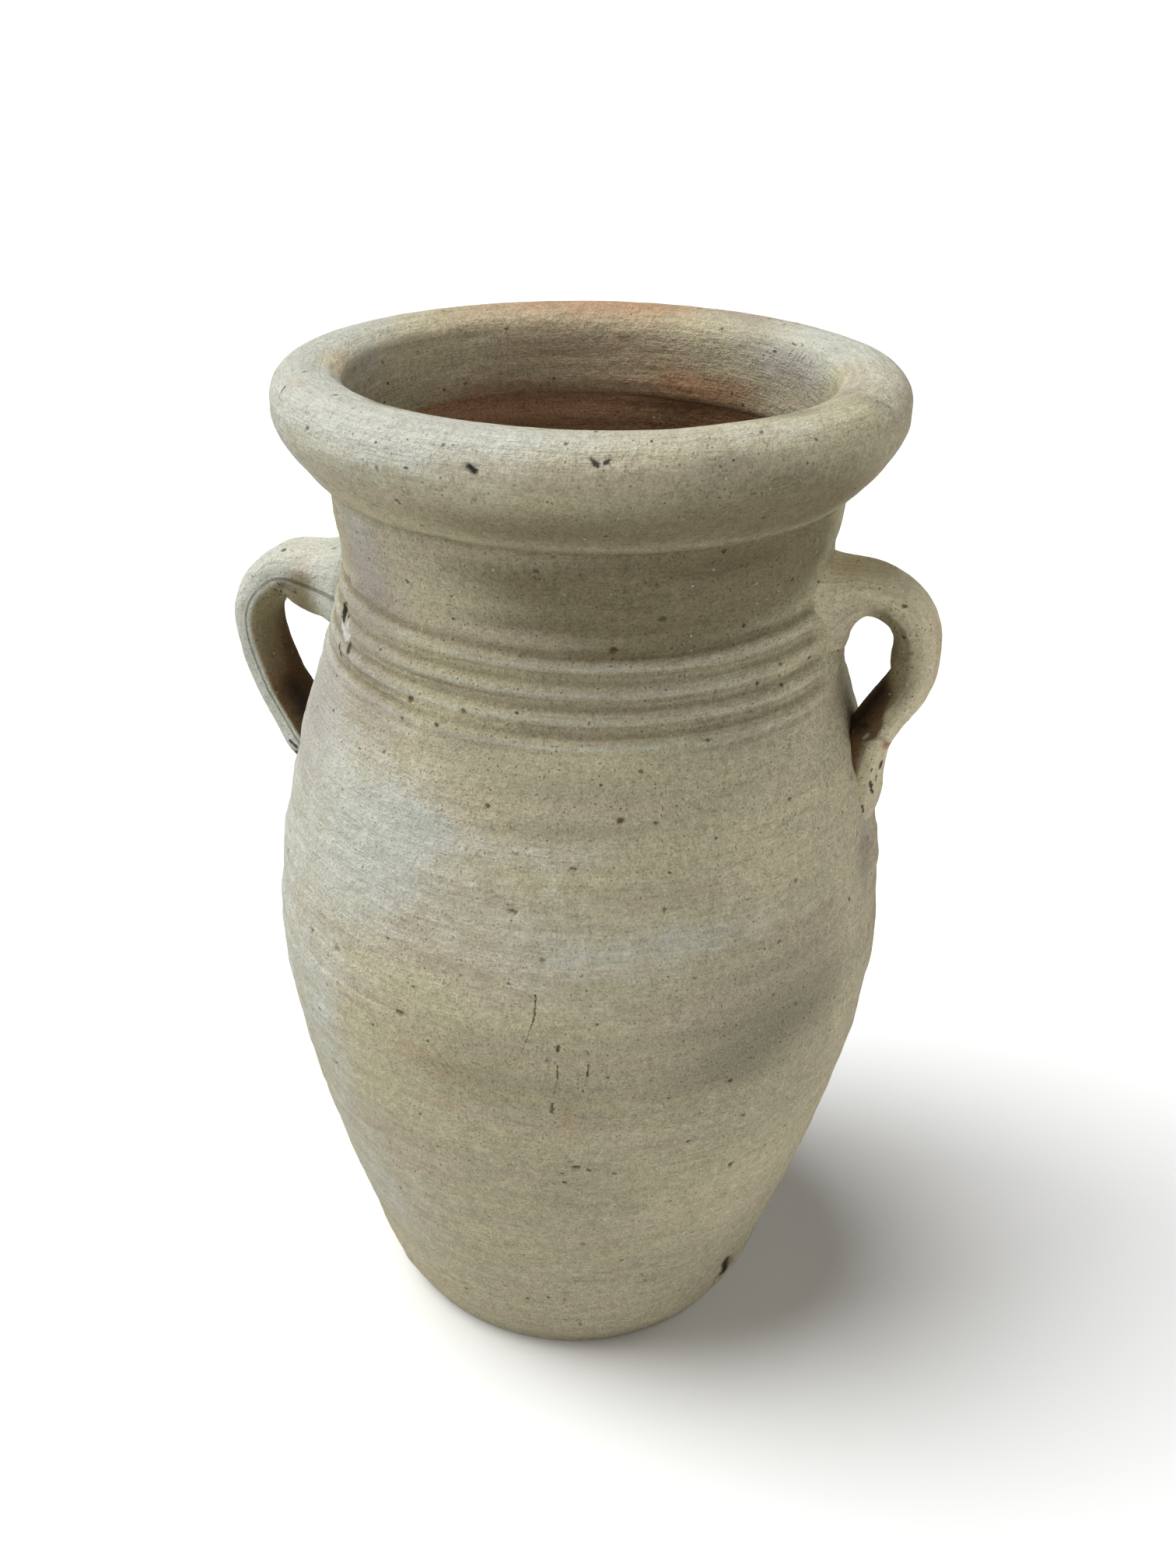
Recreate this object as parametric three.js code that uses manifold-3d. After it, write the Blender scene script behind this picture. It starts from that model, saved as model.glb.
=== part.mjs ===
// A two-handled clay jar, built the way a potter builds it: a floor slab, wall sections thrown
// one on another, a folded rim, and strap handles held on with wads of luting clay.
// Millimetres, +Z up. The foot stands on z = 0 and the handles lie along X.
import * as THREE from 'three';
import { mergeVertices } from 'three/addons/utils/BufferGeometryUtils.js';
import Module from 'manifold-3d';

const wasm = await Module();
wasm.setup();

// Outside of the wall, from the foot up: how far each ring lies inside the widest one at the belly,
// and its rise above the ring before it
const bellyRadius = 184.9;
const footInset = 70.1;
const heelInset = 61;
const heelRise = 14;
const lowerWallInset = 45.6;
const lowerWallRise = 46;
const flankInset = 16.9;
const flankRise = 100;
const bellyRise = 108;
const shoulderInset = 15.5;
const shoulderRise = 112;
const throatInset = 41.3;
const throatRise = 86;
const waistInset = 47.5;
const waistRise = 34;
const neckInset = 42.9;
const neckRise = 30;
const collarInset = 41.2;
const collarRise = 44;

// Wall and floor
const wallThickness = 13;
const slabEdgeHeight = 12;
const slabMiddleRise = 8;
const footBevel = 2.5;
const floorEdgeChamfer = 2;

// Where one thrown section sits on the next, and the tongue that locates it
const bodyJointAboveBelly = 19;
const neckJointAboveWaist = 2;
const tongueHeight = 7;
const slip = 0.3;

// Folded rim: how far it rises above the neck, hangs below its top and stands out from it
const crownRise = 30.5;
const crownRounding = 18.5;
const lipDrop = 29;
const lipOverhang = 1.8;
const lipRounding = 4;
const rimOverhang = 26.8;
const rimUnderside = 8;
const rimCheek = 14;
const mouthFlare = 1.3;
const mouthRounding = 14;

// Finger groove that winds down round the shoulder while the wheel turns
const grooveBelowWaist = 4.5;
const grooveLead = 13.1;
const grooveTurns = 4.6;
const grooveWidth = 11;
const grooveDepth = 1.9;
const grooveFade = 0.3;
const grooveRowSpacing = 3.2;

// Strap handles: section, and the two valleys that the fingers leave along the outer face
const strapWidth = 37;
const strapThickness = 24.5;
const strapSquareness = 0.6;
const strapValleyDepth = 1.6;
const strapValleyPlace = 0.47;

// Route of each strap, from the neck over its elbow to the shoulder: at each stop, how far it is
// below the waist and how far it stands off the wall there. The first and last lie in the wall.
const rootDepth = 14;
const rightStops = [[18, -rootDepth], [6, 24], [20, 44.3], [50.5, 41.5], [91, 8.5], [152, -rootDepth]];
const leftStops = [[40, -rootDepth], [37, 15.5], [34.5, 44], [61, 59.4], [108.5, 33.5], [162, -rootDepth]];

// Luting clay pressed round each root: how far it stands out from the strap at the wall, sideways
// and in thickness, how far it reaches along the strap, and how soon it thins out
const rightUpperWad = { sideways: 11, thickness: 16.5, reach: 34, fade: 11.5 };
const leftUpperWad = { sideways: 12, thickness: 17.5, reach: 46, fade: 25 };
const lowerWad = { sideways: 6.5, thickness: 5.5, reach: 35, fade: 20 };
const wadEdge = 1.2;

// Fineness of the facets
const roundSegments = 56;
const strapSectionPoints = 20;
const strapSteps = 18;
const wadSteps = 5;
const curveSteps = 4;
const cutterRows = 40;

const clay = new THREE.MeshStandardMaterial({ color: 0xb4ad90, roughness: 0.85, metalness: 0 });
const rimClay = new THREE.MeshStandardMaterial({ color: 0xb9b79a, roughness: 0.82, metalness: 0 });
const floorClay = new THREE.MeshStandardMaterial({ color: 0xa07a5e, roughness: 0.9, metalness: 0 });
const lutingClay = new THREE.MeshStandardMaterial({ color: 0xa79f88, roughness: 0.9, metalness: 0 });

// The outline's points in order, with their heights added up.
const outline = [];
[
  [0, footInset],
  [heelRise, heelInset],
  [lowerWallRise, lowerWallInset],
  [flankRise, flankInset],
  [bellyRise, 0],
  [shoulderRise, shoulderInset],
  [throatRise, throatInset],
  [waistRise, waistInset],
  [neckRise, neckInset],
  [collarRise, collarInset],
].reduce((below, [rise, inset]) => {
  outline.push({ height: below + rise, radius: bellyRadius - inset });
  return below + rise;
}, 0);
const heights = outline.map((point) => point.height);
const [bellyHeight, waistHeight, collarHeight] = [4, 7, 9].map((i) => heights[i]);
const bodyJointHeight = bellyHeight + bodyJointAboveBelly;
const neckJointHeight = waistHeight + neckJointAboveWaist;
const grooveTopHeight = waistHeight - grooveBelowWaist;
const grooveFootHeight = grooveTopHeight - grooveLead * grooveTurns;

// Rate of change of radius at outline point i: that of the parabola through it and its neighbours.
function outlineSlope(i) {
  const middle = Math.min(Math.max(i, 1), outline.length - 2);
  const [a, b, c] = [outline[middle - 1], outline[middle], outline[middle + 1]];
  const below = (b.radius - a.radius) / (b.height - a.height);
  const above = (c.radius - b.radius) / (c.height - b.height);
  const bend = (above - below) / (c.height - a.height);
  return below + bend * (2 * outline[i].height - a.height - b.height);
}

// Outside radius of the wall at a height, on a cubic between the outline points.
function wallRadius(height) {
  let i = 0;
  while (i < outline.length - 2 && height > outline[i + 1].height) i += 1;
  const [a, b] = [outline[i], outline[i + 1]];
  const span = b.height - a.height;
  const t = Math.min(Math.max((height - a.height) / span, 0), 1);
  const rise = (outlineSlope(i) * (1 - t) ** 2 - outlineSlope(i + 1) * t * (1 - t)) * t * span;
  return a.radius * (1 + 2 * t) * (1 - t) ** 2 + b.radius * (3 - 2 * t) * t ** 2 + rise;
}

// Inside radius that keeps the wall's thickness square to its slope.
function innerRadius(height) {
  const lean = wallRadius(height + 1) - wallRadius(height - 1);
  return wallRadius(height) - wallThickness * Math.hypot(1, lean / 2);
}

// Radius of the step between a tongue and the skirt that hangs round it.
function stepRadius(jointHeight) {
  return (wallRadius(jointHeight) + innerRadius(jointHeight)) / 2;
}

function heightsBetween(low, high, count) {
  return Array.from({ length: count + 1 }, (_, i) => low + ((high - low) * i) / count);
}

function outerRun(low, high, count) {
  return heightsBetween(low, high, count).map((z) => new THREE.Vector2(wallRadius(z), z));
}

function innerRun(high, low, count) {
  return heightsBetween(high, low, count).map((z) => new THREE.Vector2(innerRadius(z), z));
}

// A shelf with a tongue inside it, where the next section sits.
function tongueRun(jointHeight) {
  const step = stepRadius(jointHeight);
  return [
    new THREE.Vector2(step, jointHeight),
    new THREE.Vector2(step, jointHeight + tongueHeight),
  ];
}

// The skirt and the recess that fit over a tongue.
function skirtRun(jointHeight) {
  const step = stepRadius(jointHeight) + slip;
  return [
    new THREE.Vector2(step, jointHeight + tongueHeight + slip),
    new THREE.Vector2(step, jointHeight),
  ];
}

// Turns every face outwards: the signed volume of a closed mesh is positive when they are.
function facedOutwards(geometry) {
  const index = geometry.index.array;
  const position = geometry.attributes.position;
  const corners = [new THREE.Vector3(), new THREE.Vector3(), new THREE.Vector3()];
  let volume = 0;
  for (let i = 0; i < index.length; i += 3) {
    corners.forEach((corner, k) => corner.fromBufferAttribute(position, index[i + k]));
    volume += corners[0].dot(corners[1].cross(corners[2]));
  }
  if (volume < 0) {
    for (let i = 0; i < index.length; i += 3) {
      [index[i + 1], index[i + 2]] = [index[i + 2], index[i + 1]];
    }
  }
  return geometry;
}

// Only positions, with shared vertices merged and the faces that shrank to nothing left out.
function closedMesh(geometry) {
  const plain = geometry.clone();
  plain.deleteAttribute('normal');
  plain.deleteAttribute('uv');
  const merged = mergeVertices(plain, 1e-4);
  const kept = [];
  for (let i = 0; i < merged.index.count; i += 3) {
    const [a, b, c] = [0, 1, 2].map((k) => merged.index.getX(i + k));
    if (a !== b && b !== c && a !== c) kept.push(a, b, c);
  }
  merged.setIndex(kept);
  return facedOutwards(merged);
}

function revolved(points) {
  const ring = points[0].x === 0 ? points : [...points, points[0].clone()];
  const lathe = new THREE.LatheGeometry(ring, roundSegments);
  lathe.rotateX(Math.PI / 2);
  return closedMesh(lathe);
}

function solidOf(geometry) {
  const vertProperties = new Float32Array(geometry.attributes.position.array);
  const triVerts = new Uint32Array(geometry.index.array);
  return new wasm.Manifold(new wasm.Mesh({ numProp: 3, vertProperties, triVerts }));
}

function geometryOf(solid) {
  const mesh = solid.getMesh();
  const geometry = new THREE.BufferGeometry();
  geometry.setAttribute('position', new THREE.BufferAttribute(mesh.vertProperties, 3));
  geometry.setIndex(new THREE.BufferAttribute(mesh.triVerts, 1));
  return geometry;
}

// Floor slab: a disc with a bevelled foot, a shelf for the wall and a raised middle inside it.
function baseFloor() {
  const discRadius = innerRadius(slabEdgeHeight) - slip;
  const floorThickness = slabEdgeHeight + slabMiddleRise;
  return revolved([
    new THREE.Vector2(0, 0),
    new THREE.Vector2(wallRadius(0) - footBevel, 0),
    ...outerRun(footBevel, slabEdgeHeight, 3),
    new THREE.Vector2(discRadius, slabEdgeHeight),
    new THREE.Vector2(discRadius, floorThickness - floorEdgeChamfer),
    new THREE.Vector2(discRadius - floorEdgeChamfer, floorThickness),
    new THREE.Vector2(0, floorThickness),
  ]);
}

function lowerBody() {
  return revolved([
    ...outerRun(slabEdgeHeight, bodyJointHeight, 9),
    ...tongueRun(bodyJointHeight),
    ...innerRun(bodyJointHeight + tongueHeight, slabEdgeHeight, 6),
  ]);
}

// Depth of the winding groove at an angle and a height. It starts at the back, sinks by one lead
// a turn, and fades in and out over part of a turn at its two ends.
function grooveDepthAt(angle, height) {
  const turn = (angle / (2 * Math.PI) + 0.75) % 1;
  let depth = 0;
  for (let along = turn; along < grooveTurns; along += 1) {
    const offset = Math.abs(height - grooveTopHeight + grooveLead * along) / grooveWidth;
    const strength = Math.min(along / grooveFade, (grooveTurns - along) / grooveFade, 1);
    if (offset < 0.5) depth += grooveDepth * strength * Math.cos(Math.PI * offset) ** 2;
  }
  return depth;
}

function cutGroove(geometry) {
  const position = geometry.attributes.position;
  for (let i = 0; i < position.count; i += 1) {
    const [x, y, z] = [position.getX(i), position.getY(i), position.getZ(i)];
    const radius = Math.hypot(x, y);
    const onOutside = radius > stepRadius(z);
    const fullTurn = (Math.atan2(y, x) + 2 * Math.PI) % (2 * Math.PI);
    const scale = onOutside ? 1 - grooveDepthAt(fullTurn, z) / radius : 1;
    position.setXY(i, x * scale, y * scale);
  }
  return geometry;
}

function upperBody() {
  const grooveRows = Math.ceil((neckJointHeight - grooveFootHeight) / grooveRowSpacing);
  return cutGroove(revolved([
    ...outerRun(bodyJointHeight, grooveFootHeight, 5),
    ...outerRun(grooveFootHeight, neckJointHeight, grooveRows).slice(1),
    ...tongueRun(neckJointHeight),
    ...innerRun(neckJointHeight + tongueHeight, bodyJointHeight + tongueHeight + slip, 6),
    ...skirtRun(bodyJointHeight),
  ]));
}

function neck() {
  return revolved([
    ...outerRun(neckJointHeight, collarHeight, 5),
    ...innerRun(collarHeight, neckJointHeight + tongueHeight + slip, 3),
    ...skirtRun(neckJointHeight),
  ]);
}

// Folded rim: seated on the neck, its lip hanging down outside, its crown rounded over the mouth.
function rim() {
  const lipHeight = collarHeight - lipDrop;
  const topHeight = collarHeight + crownRise;
  const widestHeight = topHeight - crownRounding;
  const outside = wallRadius(collarHeight) + rimOverhang;
  const crown = outside - crownRounding;
  const mouth = innerRadius(collarHeight) + mouthFlare;
  const lip = wallRadius(lipHeight) + 2 * slip + lipOverhang + lipRounding / 2;
  const section = new THREE.Path();
  section.moveTo(innerRadius(collarHeight), collarHeight);
  section.lineTo(wallRadius(collarHeight) + 2 * slip, collarHeight);
  section.lineTo(wallRadius(lipHeight + lipRounding) + 2 * slip, lipHeight + lipRounding);
  section.quadraticCurveTo(wallRadius(lipHeight) + 2 * slip, lipHeight, lip, lipHeight);
  section.bezierCurveTo(
    lip + rimUnderside, lipHeight + rimUnderside,
    outside, widestHeight - rimCheek,
    outside, widestHeight,
  );
  section.quadraticCurveTo(outside, topHeight, crown, topHeight);
  section.quadraticCurveTo(mouth, topHeight, mouth, topHeight - mouthRounding);
  return revolved(section.getPoints(curveSteps));
}

// Route of a strap in the plane of the handles, on the side that the sign gives.
function strapRoute(side, stops) {
  const points = stops.map(([drop, standOff]) => {
    const height = waistHeight - drop;
    return new THREE.Vector3(side * (wallRadius(height) + standOff), 0, height);
  });
  return new THREE.CatmullRomCurve3(points, false, 'centripetal');
}

// One ring of the strap: a squared oval with two finger valleys along its outer face.
function strapRing(route, t, width, thickness, valleyDepth) {
  const centre = route.getPointAt(t);
  const along = route.getTangentAt(t);
  const side = Math.sign(centre.x);
  const outwards = new THREE.Vector3(-along.z, 0, along.x).multiplyScalar(side);
  const rounded = (value) => Math.sign(value) * Math.abs(value) ** strapSquareness;
  return Array.from({ length: strapSectionPoints }, (_, i) => {
    const angle = (2 * Math.PI * i) / strapSectionPoints;
    const across = rounded(Math.cos(angle));
    const facing = rounded(Math.sin(angle));
    const valley = (1 - Math.cos((Math.PI * across) / strapValleyPlace)) / 2;
    const sink = Math.max(facing, 0) * valleyDepth * valley;
    return centre.clone()
      .addScaledVector(outwards, (facing * thickness) / 2 - sink)
      .add(new THREE.Vector3(0, (across * width) / 2, 0));
  });
}

// Skin through a row of rings, closed at both ends by a fan round each end ring's middle.
function skinned(rings) {
  const count = rings[0].length;
  const ends = [rings[0], rings[rings.length - 1]].map((ring) => {
    const middle = new THREE.Vector3();
    ring.forEach((point) => middle.addScaledVector(point, 1 / count));
    return middle;
  });
  const index = [];
  const first = rings.length * count;
  for (let i = 0; i < count; i += 1) {
    const next = (i + 1) % count;
    for (let r = 0; r < rings.length - 1; r += 1) {
      const [a, b] = [r * count + i, r * count + next];
      index.push(a, b, b + count, a, b + count, a + count);
    }
    const last = (rings.length - 1) * count;
    index.push(first, next, i, first + 1, last + i, last + next);
  }
  const geometry = new THREE.BufferGeometry().setFromPoints([...rings.flat(), ...ends]);
  geometry.setIndex(index);
  return facedOutwards(geometry);
}

function strap(route, margin) {
  const steps = heightsBetween(0, 1, strapSteps);
  return skinned(steps.map((t) => strapRing(
    route, t, strapWidth + 2 * margin, strapThickness + 2 * margin, strapValleyDepth,
  )));
}

// Clay pressed round a root: widest at the wall, thinning along a hollow curve to an edge on the
// strap.
function wad(route, shape, fromLowerEnd) {
  const steps = heightsBetween(0, 1, wadSteps);
  const rings = steps.map((t) => {
    const fromWall = shape.reach * t ** 1.4;
    const thinned = (Math.exp(-fromWall / shape.fade) - Math.exp(-shape.reach / shape.fade))
      / (1 - Math.exp(-shape.reach / shape.fade));
    const place = (rootDepth + fromWall) / route.getLength();
    const width = strapWidth + 2 * (wadEdge + shape.sideways * thinned);
    const thickness = strapThickness + 2 * (wadEdge + shape.thickness * thinned);
    return [fromLowerEnd ? 1 - place : place, width, thickness];
  });
  const [, buriedWidth, buriedThickness] = rings[0];
  const buried = [fromLowerEnd ? 1 : 0, buriedWidth, buriedThickness];
  return skinned([buried, ...rings].map(([place, width, thickness]) => (
    strapRing(route, place, width, thickness, 0)
  )));
}

// Everything inside the jar's outside, with a little clearance, to cut roots and wads flush.
function jarCutter() {
  return solidOf(revolved([
    new THREE.Vector2(0, 0),
    ...outerRun(0, collarHeight, cutterRows).map((point) => new THREE.Vector2(point.x + slip, point.y)),
    new THREE.Vector2(0, collarHeight),
  ]));
}

const group = new THREE.Group();

function addPiece(name, geometry, material) {
  const faceted = geometry.toNonIndexed();
  faceted.computeVertexNormals();
  const mesh = new THREE.Mesh(faceted, material);
  mesh.name = name;
  group.add(mesh);
}

function addHandle(sideName, side, stops, upperWad) {
  const route = strapRoute(side, stops);
  const jar = jarCutter();
  const bar = solidOf(strap(route, 0)).subtract(jar);
  const room = solidOf(strap(route, slip));
  const wads = {
    upper: wad(route, upperWad, false),
    lower: wad(route, lowerWad, true),
  };
  addPiece(`handle_${sideName}`, geometryOf(bar), clay);
  Object.entries(wads).forEach(([level, shapeOfWad]) => {
    const pressed = solidOf(shapeOfWad).subtract(jar).subtract(room);
    addPiece(`${sideName}_${level}_luting`, geometryOf(pressed), lutingClay);
  });
}

addPiece('base_floor', baseFloor(), floorClay);
addPiece('lower_body', lowerBody(), clay);
addPiece('upper_body', upperBody(), clay);
addPiece('neck', neck(), clay);
addPiece('rim', rim(), rimClay);
addHandle('right', 1, rightStops, rightUpperWad);
addHandle('left', -1, leftStops, leftUpperWad);

export default group;
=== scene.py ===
import math

import bpy
import numpy as np
from mathutils import Matrix


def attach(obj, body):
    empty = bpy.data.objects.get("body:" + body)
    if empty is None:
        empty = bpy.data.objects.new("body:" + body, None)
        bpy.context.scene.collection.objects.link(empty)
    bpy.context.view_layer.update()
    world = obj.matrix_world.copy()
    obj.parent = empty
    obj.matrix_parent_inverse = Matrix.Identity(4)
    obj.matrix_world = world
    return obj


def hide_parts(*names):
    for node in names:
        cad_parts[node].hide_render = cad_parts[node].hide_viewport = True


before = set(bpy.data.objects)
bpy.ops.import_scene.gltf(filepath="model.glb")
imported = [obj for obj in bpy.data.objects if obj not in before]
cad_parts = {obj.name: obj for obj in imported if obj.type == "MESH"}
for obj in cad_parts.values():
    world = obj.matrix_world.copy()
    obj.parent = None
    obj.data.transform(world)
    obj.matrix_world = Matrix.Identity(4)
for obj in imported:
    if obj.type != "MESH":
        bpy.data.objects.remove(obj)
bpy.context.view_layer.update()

# A two-handled clay jar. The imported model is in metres; this script works in millimetres and
# scales each piece as it goes into its mesh. Angles start at the right handle, over +X, and the
# photograph looks at the jar from about -74 degrees.
millimetre = 0.001


def smoothField(across, up, cellsRound, seed, cellsUp=512):
    # random numbers at whole-number points, eased between them with a smooth step;
    # the field repeats every cellsRound steps across and every cellsUp steps up
    table = np.random.default_rng(seed).uniform(-1, 1, (cellsRound, cellsUp))
    i, j = np.floor(across).astype(int), np.floor(up).astype(int)
    s, t = across - i, up - j
    s, t = s * s * (3 - 2 * s), t * t * (3 - 2 * t)
    here, beside = i % cellsRound, (i + 1) % cellsRound
    low = table[here, j % cellsUp] * (1 - s) + table[beside, j % cellsUp] * s
    high = table[here, (j + 1) % cellsUp] * (1 - s) + table[beside, (j + 1) % cellsUp] * s
    return low * (1 - t) + high * t


def bell(offset, width):
    # 1 in the middle, falling off as e to the minus offset squared over width squared
    return np.exp(-(offset / width) ** 2)


def eased(value, low, high):
    # 0 below low and 1 above high, with a smooth step between
    t = np.clip((value - low) / (high - low), 0, 1)
    return t * t * (3 - 2 * t)


def turnedFrom(angle, centre):
    # how far an angle is from a centre given in degrees, as radians between -pi and pi
    return (angle - math.radians(centre) + math.pi) % (2 * math.pi) - math.pi


def throughPoints(points, count):
    # centripetal Catmull-Rom curve: each span is a cubic whose end slopes come from the
    # neighbouring points, with spans timed by the square root of their chords
    pts = np.array(points, float)
    ends = np.vstack([2 * pts[0] - pts[1], pts, 2 * pts[-1] - pts[-2]])
    gaps = np.sqrt(np.linalg.norm(np.diff(ends, axis=0), axis=1))
    place = np.linspace(0, len(pts) - 1, count)
    span = np.minimum(place.astype(int), len(pts) - 2)
    w = (place - span)[:, None]
    p0, p1, p2, p3 = (ends[span + k] for k in range(4))
    d0, d1, d2 = (gaps[span + k][:, None] for k in range(3))
    out = ((p1 - p0) / d0 - (p2 - p0) / (d0 + d1) + (p2 - p1) / d1) * d1
    into = ((p2 - p1) / d1 - (p3 - p1) / (d1 + d2) + (p3 - p2) / d2) * d1
    return p1 + out * w + (3 * (p2 - p1) - 2 * out - into) * w ** 2 + (2 * (p1 - p2) + out + into) * w ** 3


def evenly(points, count):
    # the same curve again, stepped by equal lengths, with the length run at each step
    run = np.r_[0, np.cumsum(np.linalg.norm(np.diff(points, axis=0), axis=1))]
    steps = np.linspace(0, run[-1], count)
    return np.stack([np.interp(steps, run, points[:, k]) for k in range(points.shape[1])], -1), steps


def gridMesh(name, points, fields, closedRows=False, poles=(None, None), turned=False):
    # a grid of points, rows by columns, closed round its columns, and round its rows if asked;
    # a pole is one more point that closes the first or the last row with a fan
    rows, cols = points.shape[:2]
    r, c = np.meshgrid(np.arange(rows if closedRows else rows - 1), np.arange(cols), indexing="ij")
    nextRow, nextCol = (r + 1) % rows, (c + 1) % cols
    quads = np.stack([r * cols + c, r * cols + nextCol, nextRow * cols + nextCol, nextRow * cols + c], -1)
    order = -1 if turned else 1
    faces = quads.reshape(-1, 4)[:, ::order].tolist()
    verts = points.reshape(-1, 3)
    values = {key: field.reshape(-1, *field.shape[2:]) for key, field in fields.items()}
    for end, pole in enumerate(poles):
        if pole is None:
            continue
        ring = np.arange(cols) + (rows - 1) * cols * end
        fan = np.stack([ring, np.roll(ring, -1), np.full(cols, len(verts))], -1)
        faces += fan[:, ::order * (1 if end else -1)].tolist()
        verts = np.vstack([verts, pole])
        values = {
            key: np.concatenate([field, field[ring].mean(0, keepdims=True)]) for key, field in values.items()
        }
    mesh = bpy.data.meshes.new(name)
    mesh.from_pydata((verts * millimetre).tolist(), [], faces)
    for key, field in values.items():
        kind, part = ("FLOAT_VECTOR", "vector") if field.ndim > 1 else ("FLOAT", "value")
        mesh.attributes.new(key, kind, "POINT").data.foreach_set(part, field.astype(np.float32).ravel())
    mesh.shade_smooth()
    return mesh


def placed(name, mesh, material, stands=()):
    # a finished piece: it rides on the jar and stands for the nodes that it covers
    piece = bpy.data.objects.new(name, mesh)
    bpy.context.scene.collection.objects.link(piece)
    mesh.materials.append(material)
    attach(piece, "root")
    if stands:
        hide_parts(*stands)
    print(f"{name}: {len(mesh.polygons)} faces")


def shade(red, green, blue):
    # a colour as a screen shows it, 0 to 255, turned into the light that it stands for
    shown = (red / 255, green / 255, blue / 255)
    light = [c / 12.92 if c <= 0.04045 else ((c + 0.055) / 1.055) ** 2.4 for c in shown]
    return (*light, 1.0)


class Tone:
    # one socket of a material; arithmetic on it adds Math nodes, and node() adds any other node
    def __init__(self, tree, socket):
        self.tree, self.socket = tree, socket

    def node(self, kind, settings, sockets, output=0):
        made = self.tree.nodes.new(kind)
        for key, value in settings.items():
            setattr(made, key, value)
        for key, value in sockets.items():
            if isinstance(value, Tone):
                self.tree.links.new(value.socket, made.inputs[key])
            else:
                made.inputs[key].default_value = value
        return Tone(self.tree, made.outputs[output])

    def math(self, operation, *values, clamp=False):
        settings = {"operation": operation, "use_clamp": clamp}
        return self.node("ShaderNodeMath", settings, dict(enumerate(values)))

    def __add__(self, other):
        return self.math("ADD", self, other)

    def __sub__(self, other):
        return self.math("SUBTRACT", self, other)

    def __rsub__(self, other):
        return self.math("SUBTRACT", other, self)

    def __mul__(self, other):
        return self.math("MULTIPLY", self, other)

    __radd__, __rmul__ = __add__, __mul__

    def larger(self, other):
        return self.math("MAXIMUM", self, other)

    def between(self, low, high):
        # 0 at low and 1 at high, with a smooth step; low may be the larger one
        smooth = {"interpolation_type": "SMOOTHSTEP"}
        return self.node("ShaderNodeMapRange", smooth, {"Value": self, "From Min": low, "From Max": high})

    def vector(self, operation, other, output=0):
        return self.node("ShaderNodeVectorMath", {"operation": operation}, {0: self, 1: other}, output)

    def noise(self, scale, detail=2.0, roughness=0.5, output=0):
        sockets = {"Vector": self, "Scale": scale, "Detail": detail, "Roughness": roughness}
        return self.node("ShaderNodeTexNoise", {}, sockets, output)

    def cells(self, scale, share):
        # how near each point is to the middle of its cell, and up to 1 in a share of the cells
        near = self.node("ShaderNodeTexVoronoi", {}, {"Vector": self, "Scale": scale, "Randomness": 1.0})
        colour = Tone(self.tree, near.socket.node.outputs["Color"])
        roll = colour.node("ShaderNodeSeparateColor", {}, {0: colour})
        return near, roll.between(1.0 - share, 1.0 - 0.4 * share)

    def toward(self, other, amount):
        # this colour turning into the other one as the amount goes from 0 to 1
        return self.node("ShaderNodeMix", {"data_type": "RGBA"}, {0: amount, 6: self, 7: other}, 2)

    def scaled(self, amount):
        # this vector or colour with every part times the amount
        return self.node("ShaderNodeVectorMath", {"operation": "SCALE"}, {0: self, "Scale": amount})


def nearLine(point, start, end, reach, soft):
    # 1 on the straight line from start to end, fading round its reach, over soft to each side;
    # start and end are two different points
    start, run = np.array(start, float), np.subtract(end, start)
    fromStart = point.vector("SUBTRACT", tuple(start))
    part = fromStart.vector("DOT_PRODUCT", tuple(run / (run @ run)), 1)
    foot = part.math("ADD", part, 0.0, clamp=True)
    nearest = foot.node("ShaderNodeVectorMath", {"operation": "SCALE"}, {0: tuple(run), "Scale": foot})
    return fromStart.vector("DISTANCE", nearest, 1).between(reach + soft, max(reach - soft, 0.0))


def marked(point, marks):
    # the strongest of several marks, each a line with its reach, softness and strength
    total = None
    for start, end, reach, soft, strength in marks:
        mark = nearLine(point, start, end, reach, soft) * strength
        total = mark if total is None else total.larger(mark)
    return total


def markPlaces(table, placeOf, *strength):
    # the marks of a table, with each end turned into a point by placeOf; a strength that is
    # given goes to every mark of a table that has none
    return {
        kind: [(placeOf(*start), placeOf(*end), *rest, *strength) for start, end, *rest in marks]
        for kind, marks in table.items()
    }


clayTones = {
    "body": shade(209, 201, 167),
    "cream": shade(215, 215, 201),
    "straw": shade(226, 214, 181),
    "buff": shade(207, 194, 166),
    "olive": shade(146, 135, 104),
    "ash": shade(158, 152, 130),
    "mauve": shade(176, 162, 150),
    "orange": shade(200, 152, 116),
    "brown": shade(100, 73, 45),
    "soot": shade(46, 41, 33),
    "rust": shade(92, 58, 32),
    "chalk": shade(240, 238, 230),
}


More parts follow.
